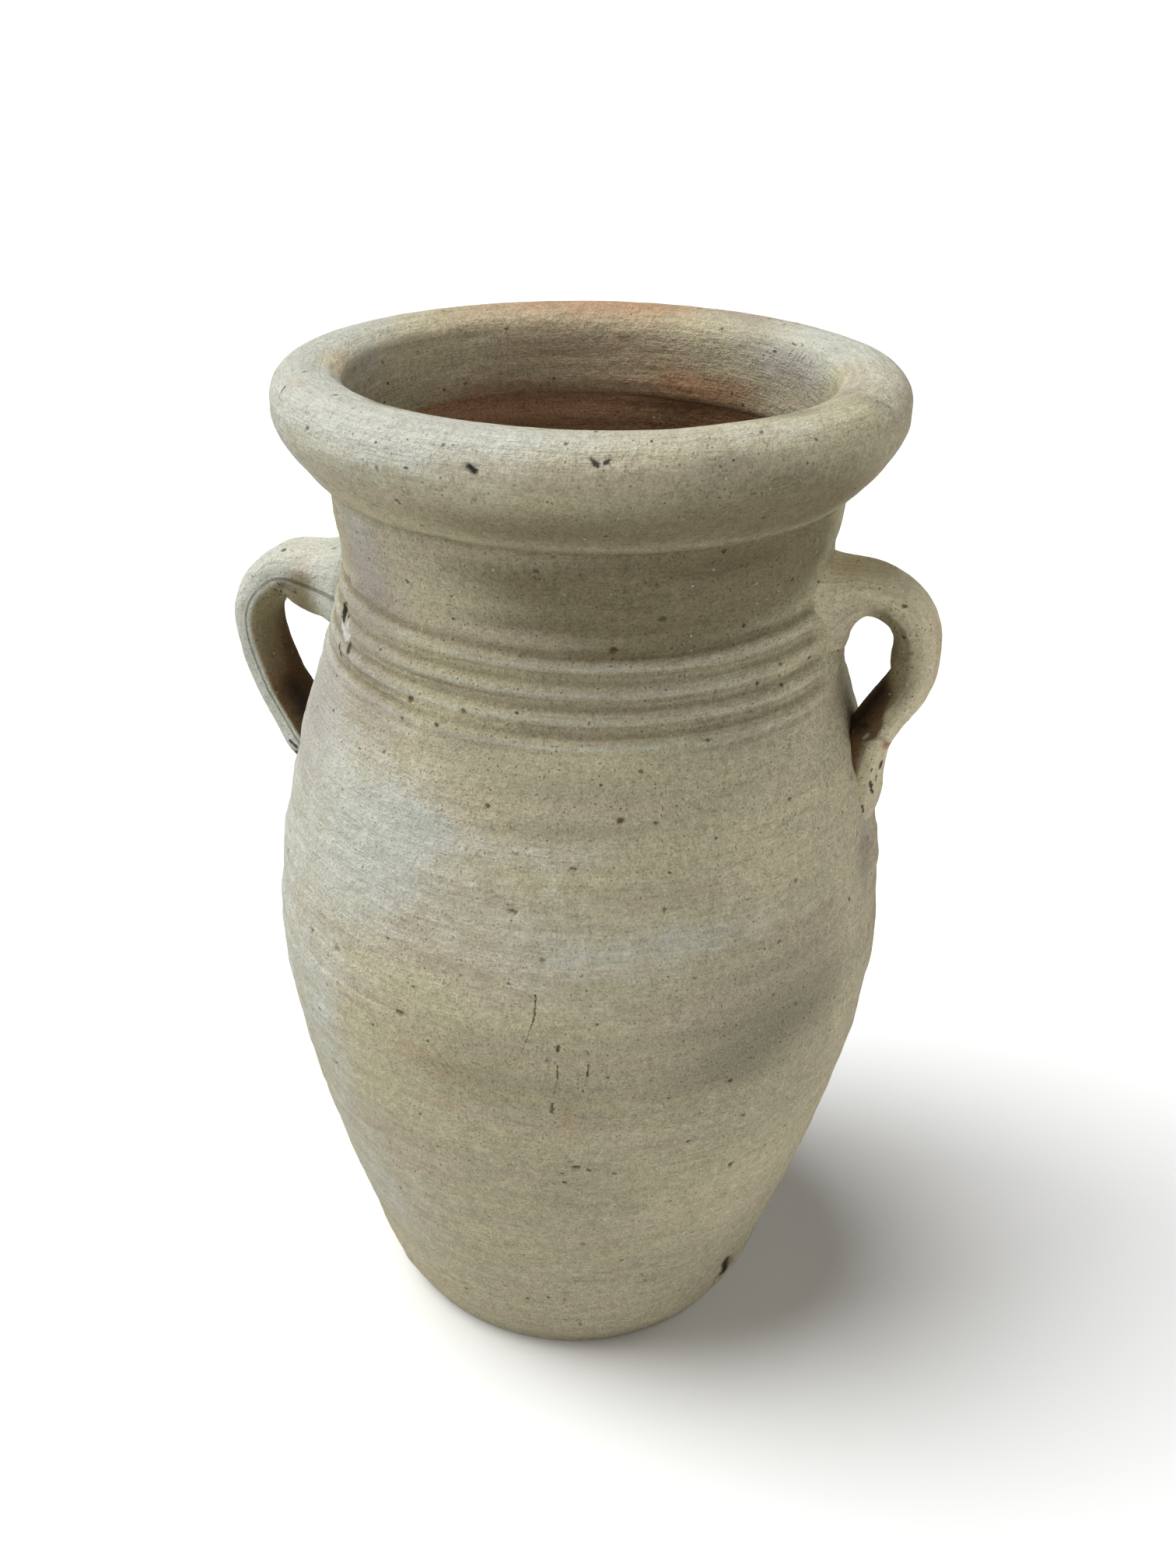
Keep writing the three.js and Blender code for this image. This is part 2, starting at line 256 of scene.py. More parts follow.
def firedClay(name, look):
    # matt clay, drawn out into streaks along the attribute "flow" and stained by the attributes named after
    # its tones, which also carry painted light and shade in places, with sand, pores, grains and the piece's
    # own marks
    material = bpy.data.materials.new(name)
    material.use_nodes = True
    tree = material.node_tree
    shader = tree.nodes["Principled BSDF"]
    start = Tone(tree, None)
    point = start.node("ShaderNodeTexCoord", {}, {}, 3).scaled(1 / millimetre)
    flow = start.node("ShaderNodeAttribute", {"attribute_name": "flow"}, {}, 1)

    def stainAndPaintedLight(key):
        return start.node("ShaderNodeAttribute", {"attribute_name": key}, {}, 2)

    # noise from broad sheets and fine streaks down to single grains
    sheet = flow.vector("MULTIPLY", (0.008, 0.008, 0.055)).noise(1.0, 5.0, 0.65)
    drawn = flow.vector("MULTIPLY", (0.018, 0.018, 0.20)).noise(1.0, 5.0, 0.72)
    brushed = flow.vector("MULTIPLY", (0.06, 0.06, 1.3)).noise(1.0, 2.0, 0.6)
    mottle = point.noise(0.05, 5.0, 0.68)
    sand = point.noise(0.75, 3.0, 0.8)
    crumb = point.noise(0.22, 4.0, 0.68)
    near, kept = point.vector("MULTIPLY", (1.0, 1.0, 1.35)).cells(0.11, look["pores"])
    pores = (near + (crumb - 0.5) * 0.7).between(0.15, 0.04) * kept
    near, kept = point.cells(0.42, look["grains"])
    grains = (near + (sand - 0.5) * 0.5).between(0.30, 0.12) * kept
    streak = drawn * 0.55 + brushed * 0.45

    # the ground colour, then each tone as strongly as it shows
    tone = start.node(
        "ShaderNodeMix", {"data_type": "RGBA"},
        {0: sheet.between(0.42, 0.62), 6: clayTones["body"], 7: clayTones["buff"]}, 2,
    )
    film = (streak * 1.0 + sheet * 0.6 + mottle * 0.8 - 1.2) * look["film"]
    amounts = {
        "cream": (stainAndPaintedLight("cream") + (streak - 0.5) * 1.0 + (mottle - 0.5) * 0.9).between(0.1, 0.95),
        "straw": (stainAndPaintedLight("straw") * (0.5 + streak * 0.6 + mottle * 0.4)).between(0.1, 1.0),
        "ash": (stainAndPaintedLight("ash") * (0.1 + streak * 0.9 + crumb * 0.9) + film).between(0.12, 1.0) * 0.9,
        "mauve": (stainAndPaintedLight("mauve") * (0.35 + streak * 0.5 + crumb * 0.8)).between(0.12, 1.0) * 0.9,
        "orange": (stainAndPaintedLight("orange") * (0.35 + mottle * 1.1)).between(0.1, 0.9) * 0.9,
        "olive": (stainAndPaintedLight("olive") * (0.35 + streak * 1.3)).between(0.05, 1.0),
        "brown": (stainAndPaintedLight("brown") * (0.4 + crumb * 1.2)).between(0.15, 1.0) * 0.95,
    }
    for key, amount in amounts.items():
        tone = tone.toward(clayTones[key], amount)
    grit = ((sand - 0.5) * look["sand"] + (crumb - 0.5) * 0.8) * (1.1 - stainAndPaintedLight("cream") * 0.35)
    lightness = grit + look["lift"] + (streak - 0.5) * look["streaks"] + (mottle - 0.5) * 0.3
    tone = tone.scaled(lightness)
    tone = tone.toward(clayTones["brown"], pores * 0.8)
    tone = tone.toward(clayTones["soot"], grains * (crumb.between(0.4, 0.6) * 0.6 + stainAndPaintedLight("ash") * 0.35))
    near, kept = point.cells(0.23, look["nicks"])
    tone = tone.toward(clayTones["chalk"], near.between(0.22, 0.08) * kept * 0.5)

    # the piece's own marks, on points that wander a little so that no line is quite straight
    drift = point.noise(0.45, 2.0, 0.5, 1).vector("MULTIPLY", (2.4, 2.4, 2.4))
    wander = point.vector("ADD", drift).vector("SUBTRACT", (1.2, 1.2, 1.2))
    kinds = {
        "scratch": ("cream", 0.6), "rust": ("rust", 0.9), "chalk": ("chalk", 0.95), "soot": ("soot", 0.97),
    }
    for kind, (key, strength) in kinds.items():
        if kind in look["marks"]:
            tone = tone.toward(clayTones[key], marked(wander, look["marks"][kind]) * strength)
    height = drawn * 1.1 + brushed * 0.35 + (sand - 0.5) * 0.6 + (crumb - 0.5) * 1.6 + (mottle - 0.5) * 2.0
    height = height - pores * 0.8 - grains * 0.25
    bump = start.node("ShaderNodeBump", {}, {"Strength": look["relief"], "Distance": 0.001, "Height": height})
    tree.links.new(tone.socket, shader.inputs["Base Color"])
    tree.links.new((0.82 + (sand - 0.5) * 0.2 + pores * 0.1).socket, shader.inputs["Roughness"])
    tree.links.new(bump.socket, shader.inputs["Normal"])
    shader.inputs["Specular IOR Level"].default_value = 0.22
    return material


# The thrown wall: rings of height and radius, then what the maker's hands left on it. "shrink"
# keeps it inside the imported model. Ring marks have a spacing and a depth each; a groove has its
# drop below grooveTop, turns, depth and width. The three radii turn angles into widths.
jar = {
    "rings": [
        (0, 114.8), (14, 123.9), (60, 139.3), (160, 168.0), (268, 184.9), (380, 169.4), (466, 143.6),
        (500, 137.4), (530, 142.0), (574, 143.7),
    ],
    "wall": 13.0,
    "floor": 20.0,
    "footBevel": 2.5,
    "joint": 287.0,
    "lap": 2.4,
    "lapSunk": 0.35,
    "waist": 500,
    "wallTop": 548,
    "shrink": 0.95,
    "meanRadius": 160,
    "shoulderRadius": 150,
    "neckRadius": 141,
    "ringSpacing": (19.0, 8.0, 4.2),
    "ringDepth": (0.62, 0.50, 0.26),
    "lumps": 0.5,
    "grooveTop": 496.1,
    "grooveLow": 400,
    "grooveLead": 13.1,
    "grooveSlack": 0.65,
    "grooveFront": 0.546,
    "grooves": [(0.0, 4, 1.5, 2.2), (8.7, 4, 0.6, 1.0), (4.4, 4, 0.3, 0.8)],
    "columns": 720,
}
ringHeights, ringRadii = (np.array([ring[k] for ring in jar["rings"]], float) for k in (0, 1))


def ringSlope(i):
    # slope of the parabola through a ring and its two neighbours
    m = min(max(i, 1), len(ringHeights) - 2)
    below = (ringRadii[m] - ringRadii[m - 1]) / (ringHeights[m] - ringHeights[m - 1])
    above = (ringRadii[m + 1] - ringRadii[m]) / (ringHeights[m + 1] - ringHeights[m])
    bend = (above - below) / (ringHeights[m + 1] - ringHeights[m - 1])
    return below + bend * (2 * ringHeights[i] - ringHeights[m - 1] - ringHeights[m])


ringSlopes = np.array([ringSlope(i) for i in range(len(ringHeights))])


def wallRadius(height):
    # plain outside radius: a cubic between the rings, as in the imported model
    height = np.asarray(height, float)
    i = np.clip(np.searchsorted(ringHeights, height, side="left") - 1, 0, len(ringHeights) - 2)
    span = ringHeights[i + 1] - ringHeights[i]
    t = np.clip((height - ringHeights[i]) / span, 0, 1)
    rise = (ringSlopes[i] * (1 - t) ** 2 - ringSlopes[i + 1] * t * (1 - t)) * t * span
    return ringRadii[i] * (1 + 2 * t) * (1 - t) ** 2 + ringRadii[i + 1] * (3 - 2 * t) * t ** 2 + rise


def grooveTurn(angle):
    # turns run from the back of the jar, slower past the front and faster behind
    turn = (angle / (2 * math.pi) + 0.75) % 1
    lag = np.sin(2 * math.pi * (turn - jar["grooveFront"]))
    return turn - jar["grooveSlack"] / (2 * math.pi) * lag


def grooveDepth(angle, height):
    # a winding valley, gentle above and steep below, with a lip under it; it fades at its ends
    # and under the luting at the two handles
    total = np.zeros(np.broadcast(angle, height).shape)
    for drop, turns, depth, width in jar["grooves"]:
        for k in range(-1, turns + 1):
            along = grooveTurn(angle) + k
            offset = height - (jar["grooveTop"] - drop - jar["grooveLead"] * along)
            strength = eased(along, 0.05, 0.35) * (1 - eased(along, turns - 0.35, turns + 0.25))
            valley = bell(offset, np.where(offset > 0, 1.9 * width, 0.9 * width))
            total += depth * strength * (valley - 0.4 * bell(offset + 2.1 * width, width))
    right, left = (turnedFrom(angle, side) * jar["neckRadius"] for side in (0, 180))
    covered = np.maximum(bell(right, 27) ** 0.5, bell(left, 30) ** 0.5)
    unevenness = 1 + 0.35 * smoothField(angle / (2 * math.pi) * 14, height / 6.5, 14, 5)
    return total * (1 - eased(covered, 0.35, 0.75)) * unevenness


# Clay pressed on the wall by the handles, and chips out of it: angle and height of the middle,
# half the width and half the height, and how far it stands out or how deep it is
pressedClay = [
    (0, 480, 46, 40, 3.2),
    (180, 474, 44, 42, 2.4),
    (1, 350, 16, 44, 3.0),
    (-5, 374, 20, 24, 1.6),
    (180, 346, 22, 40, 2.6),
    (180, 384, 30, 22, 2.4),
    (-101, 372, 9, 5, 0.8),
    (-120, 348, 12, 4, 0.6),
    (-131, 400, 16, 6, 0.5),
]
chips = [
    (-142.0, 472, 5.5, 10, -1.8),
    (-137.0, 467, 4.5, 6, -1.5),
    (-136, 475, 2.4, 4, -1.0),
    (-22.8, 40, 5.4, 13, -3.6),
    (-25.8, 32, 4.0, 7, -2.2),
    (-52, 91, 9, 1.2, -0.7),
    (-52, 87, 7, 1.1, -0.6),
    (-55, 80, 1.6, 7, -0.6),
    (-97.5, 371, 2.4, 1.8, -0.9),
]


def scattered(count, seed, low, high):
    # small pits, with a standing grain in about a third of the places, wider than they are tall
    rng = np.random.default_rng(seed)
    angle, height = rng.uniform(-180, 180, count), rng.uniform(low, high, count)
    size, out = rng.uniform(1.6, 3.0, count), rng.uniform(0.35, 0.9, count) * rng.choice([-1, -1, 0.6], count)
    return [(a, h, s * 1.3, s, d) for a, h, s, d in zip(angle, height, size, out)]


def spotted(angle, height, spots):
    # every spot as a dome or a hollow with a soft, slightly ragged edge; angles run along the
    # columns and heights down the rows, and only the points near a spot are touched
    total = np.zeros(np.broadcast(angle, height).shape)
    levels, directions = height[:, :1], angle[:1]
    for centre, middle, wide, tall, out in spots:
        across = turnedFrom(directions, centre) * jar["meanRadius"] / wide
        rows, cols = np.abs(levels[:, 0] - middle) < 1.3 * tall, np.abs(across[0]) < 1.3
        if rows.any() and cols.any():
            x, y = across[:, cols], (levels[rows] - middle) / tall
            ragged = np.hypot(x, y) + 0.12 * np.sin(5 * x + middle) * np.sin(4 * y)
            total[np.ix_(rows, cols)] += out * (1 - eased(ragged, 0.35, 1.1))
    return total


wallSpots = scattered(150, 91, 20, 540)


def handwork(angle, height):
    # everything that takes the wall off a true circle, in millimetres outwards
    turn = angle / (2 * math.pi)
    drift = height + 3.5 * turn
    total = np.full(np.broadcast(angle, height).shape, -jar["shrink"])
    quiet = 0.6 + 0.4 * eased(height, 160, 280)
    for n, (spacing, depth) in enumerate(zip(jar["ringSpacing"], jar["ringDepth"])):
        total += depth * quiet * smoothField(turn * (7 + 8 * n), drift / spacing + 40, 7 + 8 * n, 11 + n)
    total += jar["lumps"] * smoothField(turn * 18, height / 55 + 30, 18, 21)
    total += (
        0.30 * smoothField(turn * 70, height / 14 + 30, 70, 22)
        + 0.24 * smoothField(turn * 150, height / 6.5 + 30, 150, 24)
    )
    total -= grooveDepth(angle, height)
    broken = eased(smoothField(turn * 9, height * 0, 9, 23), -0.6, 0.4)
    total -= 0.6 * bell(height - jar["joint"], 2.0) * broken
    for centre, middle, wide, tall, out in pressedClay:
        across = turnedFrom(angle, centre) * jar["shoulderRadius"] / wide
        offset = np.hypot(across, (height - middle) / tall)
        ragged = offset + 0.12 * smoothField(turn * 90, height / 11 + 30, 90, 31)
        total += out * (1 - eased(ragged, 0.4, 1.08))
    return total + spotted(angle, height, wallSpots + chips)


def outerRadius(angle, height):
    # the handwork fades out at the foot, which stands flat
    return wallRadius(height) + handwork(angle, height) * eased(height, 0, 10)


def innerRadius(height):
    # the wall's thickness is kept square to its slope
    lean = (wallRadius(height + 1) - wallRadius(height - 1)) / 2
    return wallRadius(height) - jar["wall"] * np.hypot(1, lean)


def onWall(degrees, height):
    # a point on the wall, for a mark
    angle = math.radians(degrees)
    radius = float(outerRadius(np.array([[angle]]), np.array([[float(height)]]))[0, 0])
    return (radius * math.cos(angle), radius * math.sin(angle), float(height))


def stainAndPaintedLightField(angle, height, patches):
    # soft patches: angle and height of the middle, half the width and half the height in
    # millimetres, and strength
    total = np.zeros(np.broadcast(angle, height).shape)
    for centre, middle, wide, tall, strength in patches:
        across = turnedFrom(angle, centre) * jar["meanRadius"]
        total += strength * bell(np.hypot(across / wide, (height - middle) / tall), 1)
    return total


def turnedSurface(radius, height, run, angle):
    # points at a radius and height round the axis; flow holds the way that the wheel draws
    # the clay in its first two parts, and the length along the profile in its third
    x, y = radius * np.cos(angle), radius * np.sin(angle)
    points = np.stack(np.broadcast_arrays(x, y, height), -1)
    wheelX, wheelY = jar["meanRadius"] * np.cos(angle), jar["meanRadius"] * np.sin(angle)
    return points, np.stack(np.broadcast_arrays(wheelX, wheelY, run), -1)


def around(count):
    # one row of angles all round, from the left handle
    return np.linspace(-math.pi, math.pi, count, endpoint=False)[None]


wallStainsAndPaintedLight = {
    "cream": [
        (-158, 290, 75, 130, 1.0), (-118, 375, 50, 60, 0.75), (-122, 120, 60, 70, 0.55),
        (60, 260, 160, 160, 0.4), (-126, 250, 24, 60, 0.5), (-140, 420, 30, 22, 0.35),
        (-78, 392, 40, 8, 0.3), (-50, 345, 50, 12, 0.5), (-75, 330, 50, 26, 0.3), (-104, 395, 30, 12, 0.5),
        (-131, 520, 34, 34, 0.7), (-150, 425, 46, 50, 0.7), (-90, 360, 70, 36, 0.3),
        (-108, 388, 30, 24, 0.3),
    ],
    "straw": [
        # the first two straw patches, by the right handle, are painted light that brightens the side turned
        # away from the two broad suns
        (-14, 420, 40, 60, 1.3), (-10, 250, 30, 130, 1.3), (-36, 380, 44, 44, 0.9), (-28, 140, 40, 60, 0.5),
        (-70, 225, 60, 24, 0.4), (-44, 150, 60, 50, 0.7), (-60, 40, 70, 34, 0.6), (-20, 470, 30, 24, 0.6),
        (-70, 450, 50, 10, 0.4), (150, 200, 90, 120, 0.5),
    ],
    "ash": [
        (-34, 296, 56, 16, 0.5), (-36, 276, 55, 14, 0.55), (-46, 262, 44, 12, 0.5), (-40, 318, 50, 6, 0.4),
        (-40, 250, 40, 10, 0.3), (-52, 330, 50, 4, 0.3), (-75, 424, 60, 10, 0.45), (-66, 288, 60, 6, 0.35),
        (-116, 80, 60, 30, 0.3), (-78, 405, 60, 6, 0.5), (-60, 525, 110, 26, 0.5), (-72, 468, 90, 26, 0.3),
        (120, 380, 70, 40, 0.5), (-96, 440, 40, 14, 0.4), (-92, 262, 40, 9, 0.4),
    ],
    "mauve": [
        (-128, 525, 50, 40, 0.4), (-128, 480, 44, 40, 0.5), (-118, 440, 30, 24, 0.4),
        (-6, 345, 14, 34, 0.7), (-146, 415, 50, 60, 0.55), (-66, 284, 44, 5, 0.3),
    ],
    "orange": [
        (-102, 266, 26, 10, 0.4), (-93, 254, 24, 7, 0.35), (-74, 238, 6, 24, 0.45), (80, 120, 60, 50, 0.35),
        (-138, 515, 26, 20, 0.4), (-150, 250, 12, 10, 0.5), (-96, 232, 18, 8, 0.3),
    ],
    "olive": [
        # the olive patches from 498 to 532 high on the neck, under the rim, are partly the clay's colour and
        # partly painted shade
        (-22, 530, 44, 30, 1.1), (-50, 532, 60, 18, 1.1), (-78, 524, 56, 18, 0.9), (-100, 532, 40, 10, 0.3),
        (-58, 498, 70, 12, 0.6), (-80, 505, 90, 5, 0.4), (-92, 268, 60, 34, 0.33), (-60, 250, 90, 26, 0.28),
        (-46, 506, 54, 14, 0.5), (-80, 170, 80, 40, 0.25), (100, 520, 150, 20, 0.6),
        (-75, 404, 90, 8, 0.25),
    ],
    "brown": [
        # the brown patch 534 high at -44 degrees, under the rim, is partly the clay's colour and partly
        # painted shade
        (-138, 466, 10, 12, 0.3), (-23, 38, 7, 11, 1.0), (-98, 262, 50, 26, 0.12), (-44, 534, 60, 12, 0.5),
        (-1, 392, 4, 14, 0.3),
    ],
}
# marks: angle and height of each end, then reach, softness of the edge and strength
wallMarks = {
    "soot": [
        ((-80.1, 317), (-80.1, 306), 0.4, 0.35, 1.0), ((-80.1, 306), (-80.6, 299), 0.4, 0.3, 1.0),
        ((-80.6, 299), (-82.1, 283), 0.28, 0.3, 0.8), ((-82.1, 283), (-83.5, 271), 0.2, 0.25, 0.4),
        ((-143.5, 479), (-142.4, 471), 2.2, 1.0, 1.0), ((-140.0, 477), (-136.3, 469), 0.7, 0.5, 0.9),
        ((-136.1, 469), (-135.7, 463), 0.9, 0.5, 0.9), ((-136.2, 464), (-135.2, 461), 1.9, 1.2, 0.9),
        ((-140.2, 459), (-139.4, 456), 1.9, 1.2, 0.9), ((-142.5, 496), (-141, 495), 1.2, 0.8, 0.7),
        ((-5.5, 474.0), (-5.0, 472.5), 0.9, 0.6, 0.9), ((-3.0, 459.5), (-2.8, 458.5), 0.8, 0.5, 0.8),
        ((-2.1, 448.8), (-1.9, 447.6), 0.8, 0.5, 0.8), ((-25.2, 50), (-22.4, 33), 4.2, 1.8, 0.95),
        ((-27.0, 36), (-26.0, 27), 1.4, 1.0, 0.85), ((-70.6, 197), (-70.2, 196), 0.9, 0.6, 0.8),
        ((-65.8, 193.5), (-65.4, 193), 0.9, 0.6, 0.7), ((-54.5, 93), (-49.5, 92), 0.35, 0.35, 0.7),
        ((-53.5, 89), (-50, 88.5), 0.3, 0.3, 0.6), ((-56, 86), (-54, 74), 0.3, 0.4, 0.6),
        ((-103.5, 447), (-103.1, 447), 0.9, 0.5, 0.8), ((-57.5, 508), (-57.2, 508), 1.4, 0.9, 0.6),
        ((-9.5, 364), (-10.2, 350), 0.3, 0.5, 0.6), ((-3.6, 350), (-4.4, 339), 0.3, 0.5, 0.6),
    ],
    "rust": [
        ((-76.2, 287.5), (-76.2, 284.5), 0.9, 0.5, 1.0), ((-76.2, 275), (-76.2, 267), 0.5, 0.4, 1.0),
        ((-76.2, 267), (-76.7, 256), 0.3, 0.3, 0.8), ((-77.0, 249), (-77.1, 242.5), 0.8, 0.6, 0.9),
        ((-71.3, 285), (-71.3, 284), 0.6, 0.4, 0.9), ((-71.1, 277), (-71.2, 269), 0.5, 0.4, 1.0),
        ((-71.2, 269), (-72.3, 254), 0.3, 0.3, 0.8), ((-68.0, 268), (-67.8, 268), 0.9, 0.5, 0.8),
        ((-79.3, 337), (-79.0, 337), 1.2, 0.8, 0.7),
    ],
    "chalk": [
        ((-142.6, 468.6), (-138.4, 467.0), 3.6, 1.4, 1.0), ((-138.0, 473), (-137.2, 468), 1.8, 1.0, 0.9),
    ],
    "scratch": [
        ((-72.8, 306.8), (-63.2, 307.7), 0.35, 0.35, 0.9), ((-103, 371), (-88, 358), 0.4, 0.4, 0.7),
        ((-92, 366), (-84, 360), 0.3, 0.3, 0.6),
    ],
}
wallLook = {
    "pores": 0.25, "grains": 0.6, "nicks": 0.15, "film": 0.5, "streaks": 0.8,
    "sand": 1.45, "relief": 1.1, "lift": 1.01, "marks": markPlaces(wallMarks, onWall),
}
wallAngles = around(jar["columns"])


def wallStrip(rows, sunk=0.0):
    # rows of the outside, rounded at the foot, and sunk a little where another section laps them
    bevel = jar["footBevel"] * (1 - np.clip(rows / jar["footBevel"], 0, 1)) ** 2
    return turnedSurface(outerRadius(wallAngles, rows) - bevel - sunk, rows, rows, wallAngles)


def thrownWall(name, strips, stands, poles):
    # one thrown section of the outside, from strips of rows stacked from below
    points, flow = (np.vstack(part) for part in zip(*strips))
    heights = points[..., 2]
    fields = {key: stainAndPaintedLightField(wallAngles, heights, patches) for key, patches in wallStainsAndPaintedLight.items()}
    # painted shade and highlight: olive darkens the groove valleys, cream lightens the lips under them, and
    # olive in a band 546 high darkens the crease under the rim
    crease = np.clip(grooveDepth(wallAngles, heights) / 1.3, -0.4, 1) * (heights > jar["grooveLow"])
    fields["olive"] += 0.6 * np.clip(crease, 0, 1) + 0.5 * bell(heights - 546, 4)
    fields["cream"] += 1.6 * np.clip(-crease, 0, 1)
    fields["brown"] += 1.1 * np.clip(-spotted(wallAngles, heights, wallSpots), 0, 1)
    fields["flow"] = flow
    mesh = gridMesh(name, points, fields, poles=poles)
    placed(name, mesh, firedClay(f"{name}Clay", wallLook), stands)


def addWalls():
    # rows lie closer together at the foot and where the groove winds; the lower section runs on
    # a little under the upper one, which tucks itself in under the rim
    sole = np.array([0.02, 0.25, 0.5, 0.75, 0.9, 0.97])[:, None] * (wallRadius(0) - jar["footBevel"])
    underside = turnedSurface(sole + 0 * wallAngles, 0 * sole, sole - 130, wallAngles)
    lowerRows = np.r_[np.linspace(0, 12, 8), np.linspace(14.2, jar["joint"], 122)][:, None]
    lapped = wallStrip(np.array([[jar["joint"] + jar["lap"]]]), jar["lapSunk"])
    strips = [underside, wallStrip(lowerRows), lapped]
    thrownWall("lowerWall", strips, ("base_floor", "lower_body"), ((0, 0, 0), None))
    upperRows = np.r_[
        np.linspace(jar["joint"], 402, 44), np.linspace(403.5, 507, 72), np.linspace(509, jar["wallTop"], 17),
    ][:, None]
    tuckRadius = wallRadius(jar["wallTop"]) + np.array([[-3.0], [-9.0]])
    tuckHeight = np.array([[552.0], [553.0]])
    tuck = turnedSurface(tuckRadius + 0 * wallAngles, tuckHeight, tuckHeight, wallAngles)
    thrownWall("upperWall", [wallStrip(upperRows), tuck], ("upper_body", "neck"), (None, None))


print("thrown walls")
addWalls()

# The folded rim: its section as radius and height, from the crease under it, over the crown and
# down into the mouth. Its stains and painted shade are placed by the run along the section: 7 in the crease,
# 56 at the widest, 87 on the crown and 103 to 150 inside the mouth.
rimRoll = {
    "section": [
        (139.0, 549.5), (143.2, 546.4), (145.6, 545.3), (149.8, 549.4), (154.8, 555.1), (160.8, 562.4),
        (166.2, 570.5), (169.9, 579.4), (170.7, 586.5), (167.6, 597.0), (160.3, 602.9), (150.3, 604.4),
        (140.1, 602.4), (135.8, 599.9), (132.3, 596.2), (130.4, 588.0), (129.6, 575.0), (129.4, 560.0),
        (131.5, 553.0),
    ],
    "rows": 130,
    "columns": 720,
    "meanRadius": 150,
    "bow": 0.4,
    "top": 604.45,
    "widest": 170.3,
}
rimStainsAndShade = {
    "cream": [
        (-150, 78, 130, 34, 0.85), (-95, 84, 110, 20, 0.8), (-110, 60, 50, 18, 0.25), (0, 84, 60, 22, 0.5),
        (36, 86, 60, 24, 0.8), (175, 90, 60, 30, 0.8), (-40, 78, 50, 14, 0.3), (170, 112, 50, 12, 0.6),
        (44, 112, 54, 18, 0.8), (-158, 102, 36, 16, 1.0), (-144, 30, 40, 18, 0.8),
    ],
    "straw": [
        (145, 118, 90, 24, 1.3), (-162, 106, 34, 12, 1.0), (90, 112, 60, 10, 0.6), (-100, 74, 30, 10, 0.3),
        (45, 106, 40, 10, 0.4),
    ],
    "ash": [
        (-118, 45, 40, 9, 0.4), (-52, 66, 24, 7, 0.6), (-117, 97, 22, 5, 0.9), (-32, 92, 30, 7, 0.8),
        (-14, 80, 12, 12, 0.7), (-60, 40, 80, 14, 0.4),
    ],
    "mauve": [
        (-10, 97, 26, 9, 0.7), (45, 124, 70, 20, 0.6), (120, 120, 110, 14, 0.35), (66, 90, 40, 18, 0.6),
    ],
    "orange": [
        (-157, 54, 16, 18, 1.0), (-140, 80, 14, 9, 0.4), (138, 92, 40, 17, 0.5), (112, 92, 42, 17, 0.65),
        (90, 92, 40, 17, 0.65), (110, 124, 120, 16, 0.4), (130, 150, 90, 12, 0.6), (74, 146, 60, 14, 0.9),
        (-60, 102, 40, 4, 0.5),
    ],
    "olive": [
        # the olive on the lower half of the roll, 27 to 52 along the section, is partly the clay's colour and
        # partly painted shade on the side that faces down
        (-70, 27, 120, 18, 0.95), (-30, 30, 60, 22, 0.7), (-45, 52, 70, 14, 0.45), (100, 27, 160, 17, 0.6),
    ],
    "brown": [(62, 138, 60, 12, 0.5), (100, 158, 150, 6, 0.6), (86, 90, 40, 16, 0.25)],
}


def onRim(degrees, radius, height):
    # a point on the rim, for a mark
    angle = math.radians(degrees)
    return (radius * math.cos(angle), radius * math.sin(angle), height)


# marks: angle, radius and height of each end, then reach, softness of the edge and strength
rimMarks = {
    "soot": [
        ((-91.8, 169.3, 591.0), (-90.7, 169.3, 588.8), 1.5, 0.8, 1.0),
        ((-90.7, 169.3, 590.0), (-89.9, 169.3, 589.4), 0.7, 0.5, 0.9),
        ((-73.0, 167.7, 597.8), (-72.2, 167.7, 594.8), 1.5, 0.7, 0.95),
        ((-70.9, 167.5, 595.2), (-69.9, 167.2, 597.4), 1.0, 0.6, 0.95),
        ((-70.0, 167.2, 597.4), (-68.8, 167.0, 598.0), 0.5, 0.4, 0.95),
        ((-142.8, 164.8, 600.6), (-142.2, 166.2, 598.4), 0.8, 0.5, 0.9),
        ((-114.3, 157.7, 558.9), (-113.2, 157.7, 558.9), 0.7, 0.5, 0.8),
        ((-12.4, 163.5, 601.0), (-11.8, 165.5, 599.2), 1.0, 0.8, 0.6),
        ((-44.6, 160.4, 602.8), (-44.1, 160.4, 602.8), 0.8, 0.5, 0.7),
        ((47.0, 134.2, 598.4), (45.2, 133.6, 597.9), 0.6, 0.4, 0.8),
    ],
    "rust": [
        (
            (33.5 + 1.9 * k, 131.8, 596.9 - 1.6 * (k % 2)), (34.6 + 1.9 * k, 131.0, 592.6 - 1.4 * (k % 3)),
            0.5, 0.45, 0.7,
        )
        for k in range(7)
    ],
}
# small hollows in the rim: angle, run along the section, size and depth
rimPits = [
    (-91.3, 61, 2.4, 1.0), (-72.6, 68, 2.2, 0.8), (-69.6, 69, 2.4, 0.7), (-142.6, 76, 2.4, 0.8),
    (-44, 77, 1.8, 0.6), (-114, 24, 2.0, 0.6), (141, 116, 6, 0.9), (96, 122, 6, 0.8),
]
rimLook = {
    "pores": 0.35, "grains": 0.4, "nicks": 0.1, "film": 0.35, "streaks": 0.95,
    "sand": 1.4, "relief": 1.1, "lift": 1.01, "marks": markPlaces(rimMarks, onRim),
}


